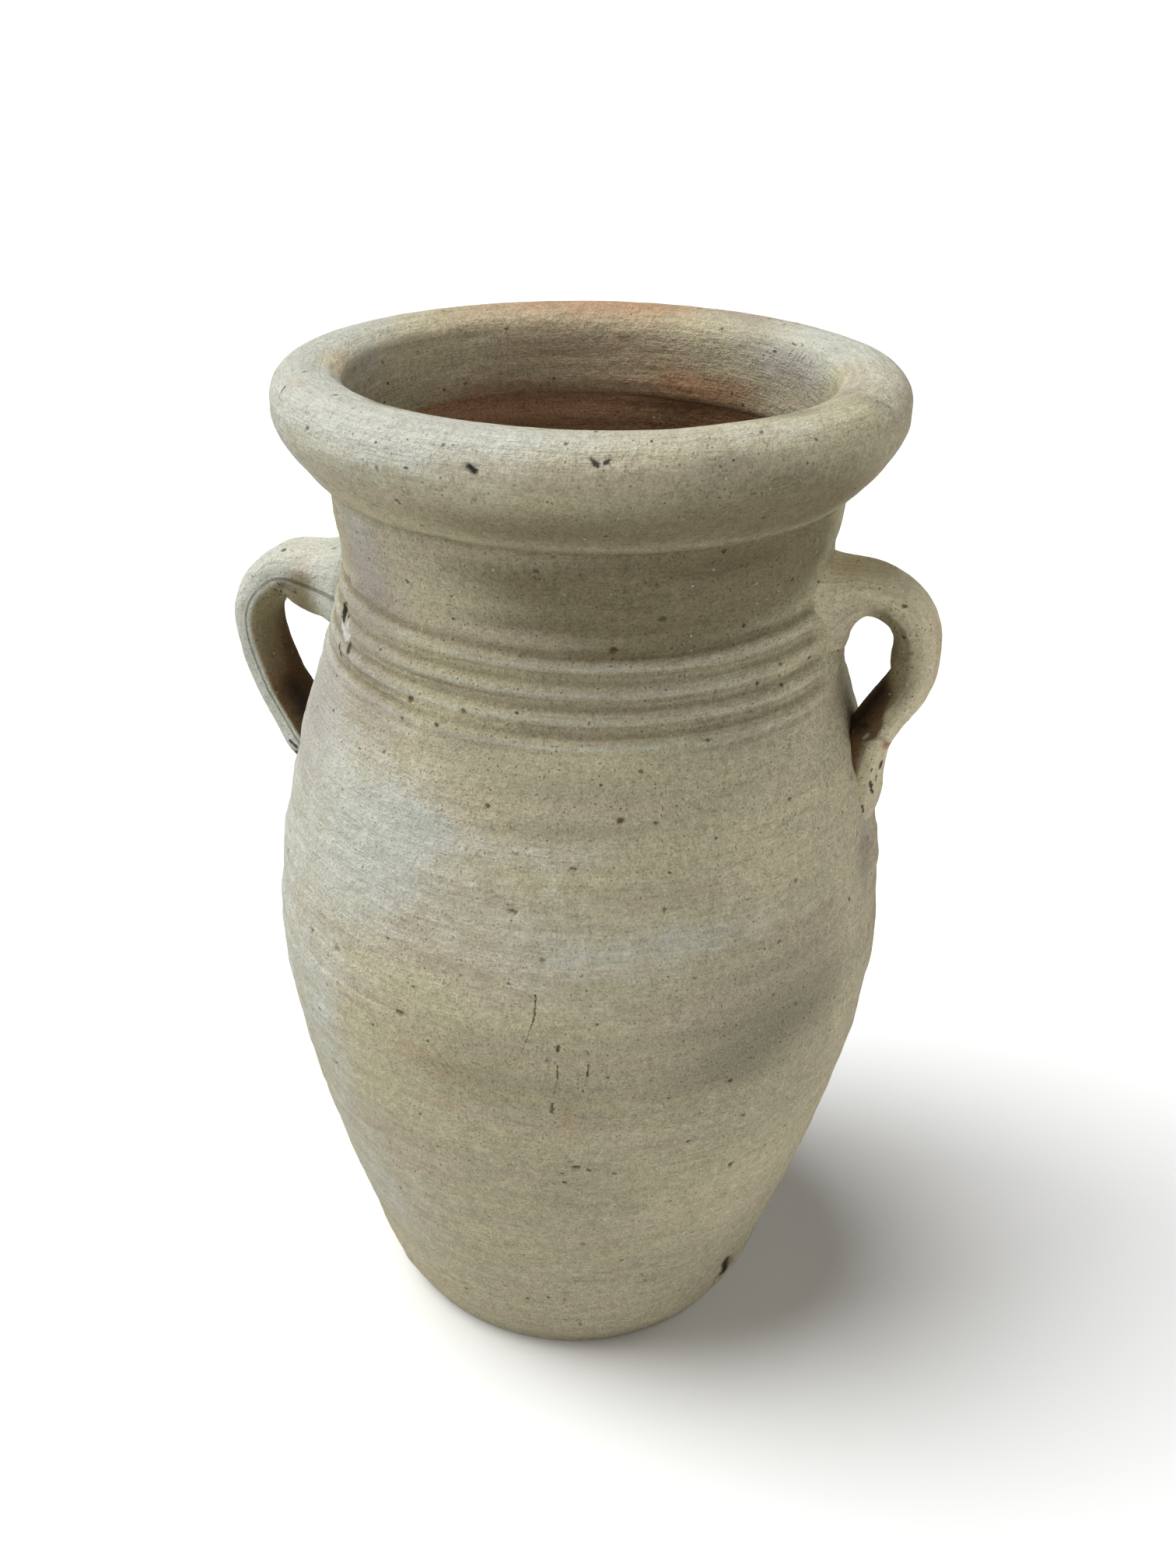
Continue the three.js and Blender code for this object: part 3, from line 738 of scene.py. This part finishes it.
def addRim():
    # the section carried round the mouth, bowed a little, with rings, lumps and pits along its
    # normal, and one seam of the fold by the right handle
    angles = around(rimRoll["columns"])
    turns = angles / (2 * math.pi)
    closed = throughPoints(rimRoll["section"] + rimRoll["section"][:1], 900)
    section, run = evenly(closed, rimRoll["rows"] + 1)
    section, run = section[:-1], run[:-1, None]
    roll = (
        0.34 * smoothField(turns * 6, run / 9 + 30, 6, 41)
        + 0.16 * smoothField(turns * 12, run / 3.6 + 30, 12, 42)
    )
    roll += (
        0.3 * smoothField(turns * 24, run / 26 + 30, 24, 43)
        + 0.12 * smoothField(turns * 90, run / 8 + 30, 90, 44)
    )
    seam = turnedFrom(angles, -5) * rimRoll["meanRadius"] - (run - 88) * 0.8
    roll += 0.8 * bell(seam, 3.5) * bell(run - 95, 10)
    for degrees, place, size, deep in rimPits:
        roll -= deep * bell(np.hypot(turnedFrom(angles, degrees) * rimRoll["meanRadius"], run - place), size)
    slope = np.gradient(section, axis=0)
    normal = np.stack([slope[:, 1], -slope[:, 0]], -1) / np.linalg.norm(slope, axis=1)[:, None]
    radius = section[:, :1] + normal[:, :1] * roll + rimRoll["bow"] * np.cos(2 * angles + 0.6)
    height = np.minimum(section[:, 1:] + normal[:, 1:] * roll, rimRoll["top"])
    points, flow = turnedSurface(np.minimum(radius, rimRoll["widest"]), height, run, angles)
    fields = {key: stainAndPaintedLightField(angles, run, patches) for key, patches in rimStainsAndShade.items()}
    # painted shade: olive in the crease under the rim
    fields["olive"] += 0.5 * bell(run - 8, 3.5)
    fields["flow"] = flow
    mesh = gridMesh("foldedRim", points, fields, closedRows=True)
    placed("foldedRim", mesh, firedClay("smoothedClay", rimLook), ("rim",))


print("folded rim")
addRim()

# Inside of the jar: throwing ridges down the wall, and a spiral on the floor
inside = {
    "ridgeSpacing": 9.5, "ridgeDepth": 0.9, "columns": 500,
    "floorLift": 0.9, "cove": (98, 126, 13.0), "spiralStep": 12, "spiralDepth": 0.8,
}
insideStainsAndShade = {
    "cream": [(-150, 560, 60, 30, 0.3)],
    "straw": [(150, 555, 70, 24, 0.9)],
    "ash": [],
    "mauve": [(40, 560, 90, 34, 1.0), (160, 560, 80, 30, 0.5)],
    "orange": [(100, 540, 200, 40, 1.2), (60, 480, 200, 60, 1.2), (-100, 300, 400, 300, 1.0)],
    "olive": [],
    "brown": [
        # the large brown patches 440 and 250 high darken the inside towards the bottom: partly the clay's
        # colour and partly painted shade
        (60, 548, 90, 16, 0.8), (120, 440, 300, 66, 1.4), (0, 250, 500, 220, 1.0),
        (180, 250, 500, 220, 0.8), (60, 520, 110, 26, 0.3),
    ],
}
insideLook = {
    "pores": 0.3, "grains": 0.3, "nicks": 0.05, "film": 0.2, "streaks": 1.1,
    "sand": 1.5, "relief": 1.2, "lift": 1.0, "marks": {},
}


def addInside():
    # the wall from the mouth down, then the floor from a hollow cove in to its middle
    angles = around(inside["columns"])
    turns = angles / (2 * math.pi)
    down = np.r_[np.linspace(562, 440, 66), np.linspace(436, 34, 84)][:, None]
    climb = (down + 9 * turns) / inside["ridgeSpacing"]
    ridge = inside["ridgeDepth"] * smoothField(turns * 4, climb + 20, 4, 51)
    ridge += (
        0.4 * smoothField(turns * 8, down / 3.6 + 20, 8, 52)
        + 0.5 * smoothField(turns * 26, down / 22 + 20, 26, 53)
    )
    wallIn, wallFlow = turnedSurface(innerRadius(down) + ridge, down, down, angles)
    across = np.linspace(innerRadius(34), 2, 44)[1:, None]
    swirl = inside["spiralDepth"] * np.cos(2 * math.pi * (across / inside["spiralStep"] - turns))
    swirl = swirl * eased(across, 4, 30) * (1 - eased(across, 88, 104))
    coveStart, coveEnd, coveRise = inside["cove"]
    floor = jar["floor"] + inside["floorLift"]
    floorHeight = floor + coveRise * eased(across, coveStart, coveEnd) ** 2 + swirl
    floorIn, floorFlow = turnedSurface(across + 0 * angles, floorHeight, across - 120, angles)
    points, flow = np.vstack([wallIn, floorIn]), np.vstack([wallFlow, floorFlow])
    fields = {key: stainAndPaintedLightField(angles, points[..., 2], patches) for key, patches in insideStainsAndShade.items()}
    fields["flow"] = flow
    mesh = gridMesh("insideWall", points, fields, poles=(None, (0, 0, floor)))
    placed("insideWall", mesh, firedClay("insideClay", insideLook))


print("inside")
addInside()

# Pulled straps. Each stop is its drop below the waist and how far it stands off the wall, and the
# section is an oval, squarer as "square" falls. At a root the strap swells sideways and in
# thickness, and thins out again over a length; "corner" fills the inner side of a bend: how much,
# where along the strap, and over what length. A finger ridge has its place across, height and
# width. A strap starts and ends rootDepth inside the wall's face, and stays at least "buried"
# away from the inner side. The ends of a mark are a row and a column of the strap's own grid,
# then come its reach and softness.
rootDepth = 14
strapForm = {"rows": 300, "columns": 132, "tailLoss": 0.55, "tail": 28, "markStrength": 0.95}
straps = {
    "right": {
        "side": 1,
        "stops": [
            (17.9, -rootDepth), (5.8, 24.2), (19.5, 44.1), (50.5, 40.6), (90.7, 8.2), (151.9, -rootDepth),
        ],
        "width": 35.7, "thickness": 24.0, "square": 0.72,
        "upper": (11.0, 17.0, 10.7), "lower": (5.8, 5.0, 22.0),
        "corner": (1.9, 89.0, 9.0),
        "ridges": [(-8.5, 0.8, 3.0), (1.5, 0.8, 2.6), (9.5, 0.6, 2.4)],
        "seed": 61, "lift": 1.25, "buried": 4.0,
        "marks": {
            "soot": [
                ((224, 44), (228, 44), 1.5, 0.7), ((241, 54), (246, 51), 1.1, 0.7),
                ((248, 51), (251, 49), 1.0, 0.6), ((228, 56), (229, 56), 0.6, 0.4),
                ((168, 88), (198, 84), 6.0, 6.0), ((194, 74), (200, 84), 2.5, 2.5),
                ((262, 58), (268, 57), 0.6, 0.5), ((236, 47), (240, 47), 0.6, 0.4),
            ],
            "scratch": [((199, 68), (203, 69), 0.9, 0.7), ((206, 60), (210, 62), 0.6, 0.5)],
        },
    },
    "left": {
        "side": -1,
        "stops": [
            (40.2, -rootDepth), (36.7, 15.3), (35.9, 43.5), (60.7, 58.2), (108.5, 33.1),
            (161.9, -rootDepth),
        ],
        "width": 38.0, "thickness": 24.4, "square": 0.72,
        "upper": (12.1, 15.9, 25.0), "lower": (6.9, 6.0, 19.0),
        "corner": (5.0, 43.0, 20.0),
        "ridges": [(-9.0, 0.7, 2.6), (0.0, 0.5, 2.0), (8.0, 0.8, 2.6)],
        "seed": 71, "lift": 1.12, "buried": 4.0,
        "marks": {
            "soot": [
                ((60, 16), (82, 17), 0.25, 0.3), ((66, 12), (92, 14), 0.2, 0.3),
                ((84, 20), (108, 22), 0.25, 0.3), ((70, 23), (86, 24), 0.3, 0.3),
                ((96, 9), (122, 10), 0.2, 0.3), ((80, 125), (83, 123), 0.6, 0.6),
                ((88, 124), (90, 127), 0.5, 0.5), ((74, 122), (76, 120), 0.7, 0.6),
                ((222, 108), (252, 112), 7.0, 8.0), ((260, 4), (268, 2), 1.2, 0.8),
                ((272, 6), (280, 4), 1.4, 0.8),
            ],
            "chalk": [((252, 6), (258, 3), 1.8, 0.9)],
        },
    },
}


def strapSurface(strap):
    # rings of a squared oval along the route, each square to it; finger ridges run along the
    # outer face, and the swelling at a root falls off as e to the minus distance over length
    side = strap["side"]
    waist = jar["waist"]
    stops = [(float(wallRadius(waist - drop)) + off, waist - drop) for drop, off in strap["stops"]]
    route, run = evenly(throughPoints(stops, 1200), strapForm["rows"])
    along = np.gradient(route, axis=0)
    along /= np.linalg.norm(along, axis=1)[:, None]
    outward = np.stack([-along[:, 1], along[:, 0]], -1)
    a = np.linspace(0, 2 * math.pi, strapForm["columns"], endpoint=False)
    across, facing = (np.sign(v) * np.abs(v) ** strap["square"] for v in (np.cos(a), np.sin(a)))
    steps = run[:, None]
    fromTop = np.maximum(steps - rootDepth, 0)
    fromLow = np.maximum(run[-1] - steps - rootDepth, 0)
    (upWide, upThick, upLength), (lowWide, lowThick, lowLength) = strap["upper"], strap["lower"]
    upper, lower = np.exp(-fromTop / upLength), np.exp(-fromLow / lowLength)
    tail = 1 - strapForm["tailLoss"] * (1 - eased(run[-1] - steps, 0, strapForm["tail"]))
    wide = (strap["width"] / 2 + upWide * upper + lowWide * lower) * tail ** 0.5
    thick = (strap["thickness"] / 2 + upThick * upper + lowThick * lower) * tail
    y, out = across * wide, facing * thick
    amount, place, length = strap["corner"]
    out = out - amount * bell(steps - place, length) * np.maximum(-facing, 0)
    turns = a / (2 * math.pi)
    free = eased(fromTop, 6, 26) * eased(fromLow, 4, 24)
    ridges = 0
    for place, tall, width in strap["ridges"]:
        wobble = 1.6 * smoothField(0 * turns, steps / 34 + 20, 1, strap["seed"] + 9)
        ridges = ridges + tall * bell(y - place - wobble, width)
    out = out + (ridges - 0.9) * np.maximum(facing, 0) * free
    rough = 0.5 * smoothField(turns * 7, steps / 26 + 20, 7, strap["seed"])
    rough += 0.32 * smoothField(turns * 18, steps / 11 + 20, 18, strap["seed"] + 1)
    rough += 0.2 * smoothField(turns * 44, steps / 34 + 20, 44, strap["seed"] + 2)
    rough += 0.16 * smoothField(turns * 30, steps / 3.4 + 20, 30, strap["seed"] + 3)
    swell = 1 + rough / np.maximum(np.hypot(y, out), 6)
    y, out = y * swell, out * swell
    height = route[:, 1:] + outward[:, 1:] * out
    radius = np.maximum(route[:, :1] + outward[:, :1] * out, innerRadius(height) + strap["buried"])
    points = np.stack([side * radius, side * y, height], -1)
    flow = np.stack(np.broadcast_arrays(steps * 0.8, 0 * a + 40.0 * strap["seed"], a * 17), -1)
    spread = {
        "front": -side * across, "facing": facing, "fromTop": fromTop, "fromLow": fromLow,
        "turns": turns, "steps": steps,
    }
    return points, flow, {key: value + 0 * steps + 0 * a for key, value in spread.items()}


def rightStainsAndShade(at, patchy):
    # pale outer face with dark pores along its edge, painted shade in olive on its front side and inner
    # faces, a very dark wedge above the lower root, a painted shadow in brown where that root meets the wall,
    # and below the wedge a torn pale patch with a rusty upper edge
    face, front, steps, fromTop = at["facing"], at["front"], at["steps"], at["fromTop"]
    side = eased(front, 0.2, 0.9) * eased(-face, -0.75, 0.0)
    edge = bell(face + 0.02, 0.16) * eased(front, 0.2, 0.8) * bell(steps - 82, 34)
    low = at["fromLow"] + 3 * patchy
    torn = eased(face, 0.0, 0.35) * (1 - eased(low, 47, 51)) * eased(low, 12, 20)
    wedge = eased(-face, 0.0, 0.75) * bell(low - 68, 17) + eased(-face, -0.4, 0.2) * bell(low - 59, 6)
    rusty = bell(low - 52, 3.5) * eased(face, -0.1, 0.4) * eased(patchy, -0.9, 0.5)
    rusty = rusty * eased(front, -0.1, 0.6)
    return {
        "cream": (
            0.5 * eased(face, 0.0, 0.7) + 0.5 * torn + 0.25 * patchy
            + 0.5 * bell(fromTop, 24) * eased(face, 0.0, 0.5)
        ),
        "straw": 0.9 * eased(face, -0.2, 0.5) + 0.6 * torn + 0.9 * bell(fromTop, 34) * eased(face, -0.6, 0.2),
        "ash": 0.5 * side * bell(at["fromLow"] - 86, 26),
        "mauve": 0.4 * (1 - torn) * (1 - eased(low, 44, 54)),
        "orange": 0.5 * eased(face, 0.8, 0.98) * bell(steps - 95, 34) + rusty,
        # painted shade: olive on the front side face and on the inner face
        "olive": (
            0.35 * side * eased(fromTop, 40, 70)
            + 0.9 * eased(-face, 0.05, 0.4) * eased(fromTop, 16, 40)
        ),
        "brown": (
            1.6 * wedge + 0.9 * edge * eased(patchy, -0.8, 0.5)
            # painted shadow: brown along the lower root where it meets the wall
            + 0.8 * eased(-face, -0.25, 0.15) * eased(low, 4, 20) * (1 - eased(low, 44, 58))
            + 0.5 * bell(low - 54, 3)
        ),
    }


def leftStainsAndShade(at, patchy):
    # pale outer face, dark speckled edge, olive-brown inner face that darkens downwards, and a tan hollow
    # between the upper root and the bend; the olive-brown inner face, its darkening and the olive in the
    # hollow are painted shade
    face, front, steps, fromTop = at["facing"], at["front"], at["steps"], at["fromTop"]
    under = eased(-face, 0.05, 0.5)
    edge = bell(face + 0.25, 0.2) * eased(front, 0.3, 0.9) * bell(steps - 56, 18)
    return {
        "cream": 1.3 * (1 - under) + 1.2 * bell(fromTop, 16) + 0.15 * patchy,
        "straw": 0.25 * (1 - under) * bell(fromTop - 40, 20),
        "ash": 0.3 * under + 0.3 * edge,
        "mauve": 0.2 * patchy + 0.5 * bell(at["fromLow"], 12),
        "orange": 0.35 * bell(fromTop - 24, 9) * eased(front, 0.2, 0.8),
        # painted shade: olive in the hollow under the strap's top and on the inner face
        "olive": (
            0.9 * bell(fromTop - 24, 12) * eased(front, 0.2, 0.8) * eased(-face, -0.7, 0.0)
            + 0.9 * under * eased(fromTop, 30, 46)
        ),
        # painted shade: brown on the inner face, growing downwards and by the lower root
        "brown": (
            under * (0.4 * eased(steps, 60, 120) + 0.4 * eased(-front, -0.5, 0.4) * eased(steps, 60, 100))
            + 0.8 * edge * eased(patchy, -0.8, 0.3) + 1.1 * under * bell(at["fromLow"] - 18, 34)
        ),
    }


strapLook = {
    "pores": 0.55, "grains": 0.7, "nicks": 0.1, "film": 0.3, "streaks": 0.7, "sand": 1.3, "relief": 1.3,
}


def addStrap(sideName, stainsAndShadeOf):
    # one strap with the clay round its two roots, closed at the ends that the wall hides
    strap = straps[sideName]
    points, flow, at = strapSurface(strap)
    fields = stainsAndShadeOf(at, smoothField(at["turns"] * 9, at["steps"] / 15 + 20, 9, strap["seed"] + 5))
    fields["flow"] = flow
    marks = markPlaces(strap["marks"], lambda row, column: points[row, column], strapForm["markStrength"])
    look = strapLook | {"lift": strap["lift"], "marks": marks}
    ends = (points[0].mean(0), points[-1].mean(0))
    mesh = gridMesh(f"{sideName}Strap", points, fields, poles=ends, turned=True)
    nodes = (f"handle_{sideName}", f"{sideName}_upper_luting", f"{sideName}_lower_luting")
    placed(f"{sideName}Strap", mesh, firedClay(f"{sideName}StrapClay", look), nodes)


print("straps")
addStrap("right", rightStainsAndShade)
addStrap("left", leftStainsAndShade)

# The camera that was fitted to the photograph: its place and turn about the jar, in a frame that
# is the jar's own one turned by handleTurn
photo = {
    "width": 1512, "height": 2016, "focal": 2026.0, "centreColumn": 675.3,
    "across": -17.6, "distance": 850.0, "eye": 794.0,
    "pitch": 27.76, "yaw": -1.06, "roll": 0.28, "handleTurn": 17.6,
}


def addCamera():
    # placed and turned about the jar, with the sensor's width along the photograph's long side
    turn, pitch, roll = (math.radians(photo[key]) for key in ("handleTurn", "pitch", "roll"))
    look = math.radians(photo["yaw"]) - turn
    forward = np.array([math.sin(look) * math.cos(pitch), math.cos(look) * math.cos(pitch), -math.sin(pitch)])
    right = np.array([math.cos(look), -math.sin(look), 0.0])
    up = np.cross(right, forward)
    sin, cos = math.sin(roll), math.cos(roll)
    right, up = cos * right + sin * up, cos * up - sin * right
    x, y = photo["across"], -photo["distance"]
    sin, cos = math.sin(turn), math.cos(turn)
    place = np.array([x * cos - y * sin, x * sin + y * cos, photo["eye"]])
    data = bpy.data.cameras.new("photoCamera")
    data.sensor_fit, data.sensor_width = "AUTO", 36.0
    data.lens = 36.0 * photo["focal"] / photo["height"]
    data.shift_x = (photo["width"] / 2 - photo["centreColumn"]) / photo["height"]
    data.clip_start, data.clip_end = 0.02, 200.0
    camera = bpy.data.objects.new("photoCamera", data)
    bpy.context.scene.collection.objects.link(camera)
    columns = np.stack([right, up, -forward, place * millimetre], -1)
    camera.matrix_world = Matrix([*columns.tolist(), [0, 0, 0, 1]])
    bpy.context.scene.camera = camera


# Light: two broad suns from the left and above, as the shadow in the photograph asks, and two
# weaker ones from the right. The azimuth is measured as the angles on the jar are.
studio = {
    "floorSeen": 1.18, "floorBounce": 0.7, "ambient": 0.012, "floorSize": 60.0,
    "suns": {
        "low": {"strength": 1.19, "angle": 45, "azimuth": 200, "elevation": 38, "colour": (0.96, 0.99, 1.0)},
        "high": {"strength": 2.29, "angle": 42, "azimuth": 189, "elevation": 70, "colour": (1.0, 1.0, 1.0)},
        "side": {"strength": 0.4, "angle": 60, "azimuth": 14, "elevation": 28, "colour": (1.0, 1.0, 0.98)},
        "front": {"strength": 0.36, "angle": 50, "azimuth": -50, "elevation": 22, "colour": (1.0, 1.0, 0.98)},
    },
}


def addSun(name, settings):
    # a broad sun that shines from its azimuth and elevation
    data = bpy.data.lights.new(name, "SUN")
    data.energy, data.angle = settings["strength"], math.radians(settings["angle"])
    data.color = settings["colour"]
    sun = bpy.data.objects.new(name, data)
    bpy.context.scene.collection.objects.link(sun)
    sun.rotation_euler = (0, math.radians(90 - settings["elevation"]), math.radians(settings["azimuth"]))


def brighterSeen(tree, seen, otherwise):
    # a value that the camera sees as one amount and every other ray as another
    ray = Tone(tree, tree.nodes.new("ShaderNodeLightPath").outputs["Is Camera Ray"])
    return ray * (seen - otherwise) + otherwise


def addStudio():
    # a wide pale floor that the camera sees as white where nothing shades it
    world = bpy.data.worlds.new("studio")
    world.use_nodes = True
    bpy.context.scene.world = world
    background = world.node_tree.nodes["Background"]
    strength = brighterSeen(world.node_tree, 1.0, studio["ambient"])
    world.node_tree.links.new(strength.socket, background.inputs["Strength"])
    background.inputs["Color"].default_value = (1, 1, 1, 1)
    bpy.context.scene.view_settings.view_transform = "Standard"
    size = studio["floorSize"]
    mesh = bpy.data.meshes.new("floor")
    corners = [(-size, -size, 0), (size, -size, 0), (size, size, 0), (-size, size, 0)]
    mesh.from_pydata(corners, [], [(0, 1, 2, 3)])
    floor = bpy.data.objects.new("floor", mesh)
    bpy.context.scene.collection.objects.link(floor)
    material = bpy.data.materials.new("paleFloor")
    material.use_nodes = True
    tree = material.node_tree
    tree.nodes.remove(tree.nodes["Principled BSDF"])
    white = brighterSeen(tree, studio["floorSeen"], studio["floorBounce"])
    grey = white.node("ShaderNodeCombineXYZ", {}, {0: white, 1: white, 2: white})
    matt = white.node("ShaderNodeBsdfDiffuse", {}, {"Color": grey})
    tree.links.new(matt.socket, tree.nodes["Material Output"].inputs["Surface"])
    mesh.materials.append(material)
    for name, settings in studio["suns"].items():
        addSun(f"{name}Sun", settings)


print("camera, floor and light")
addCamera()
addStudio()
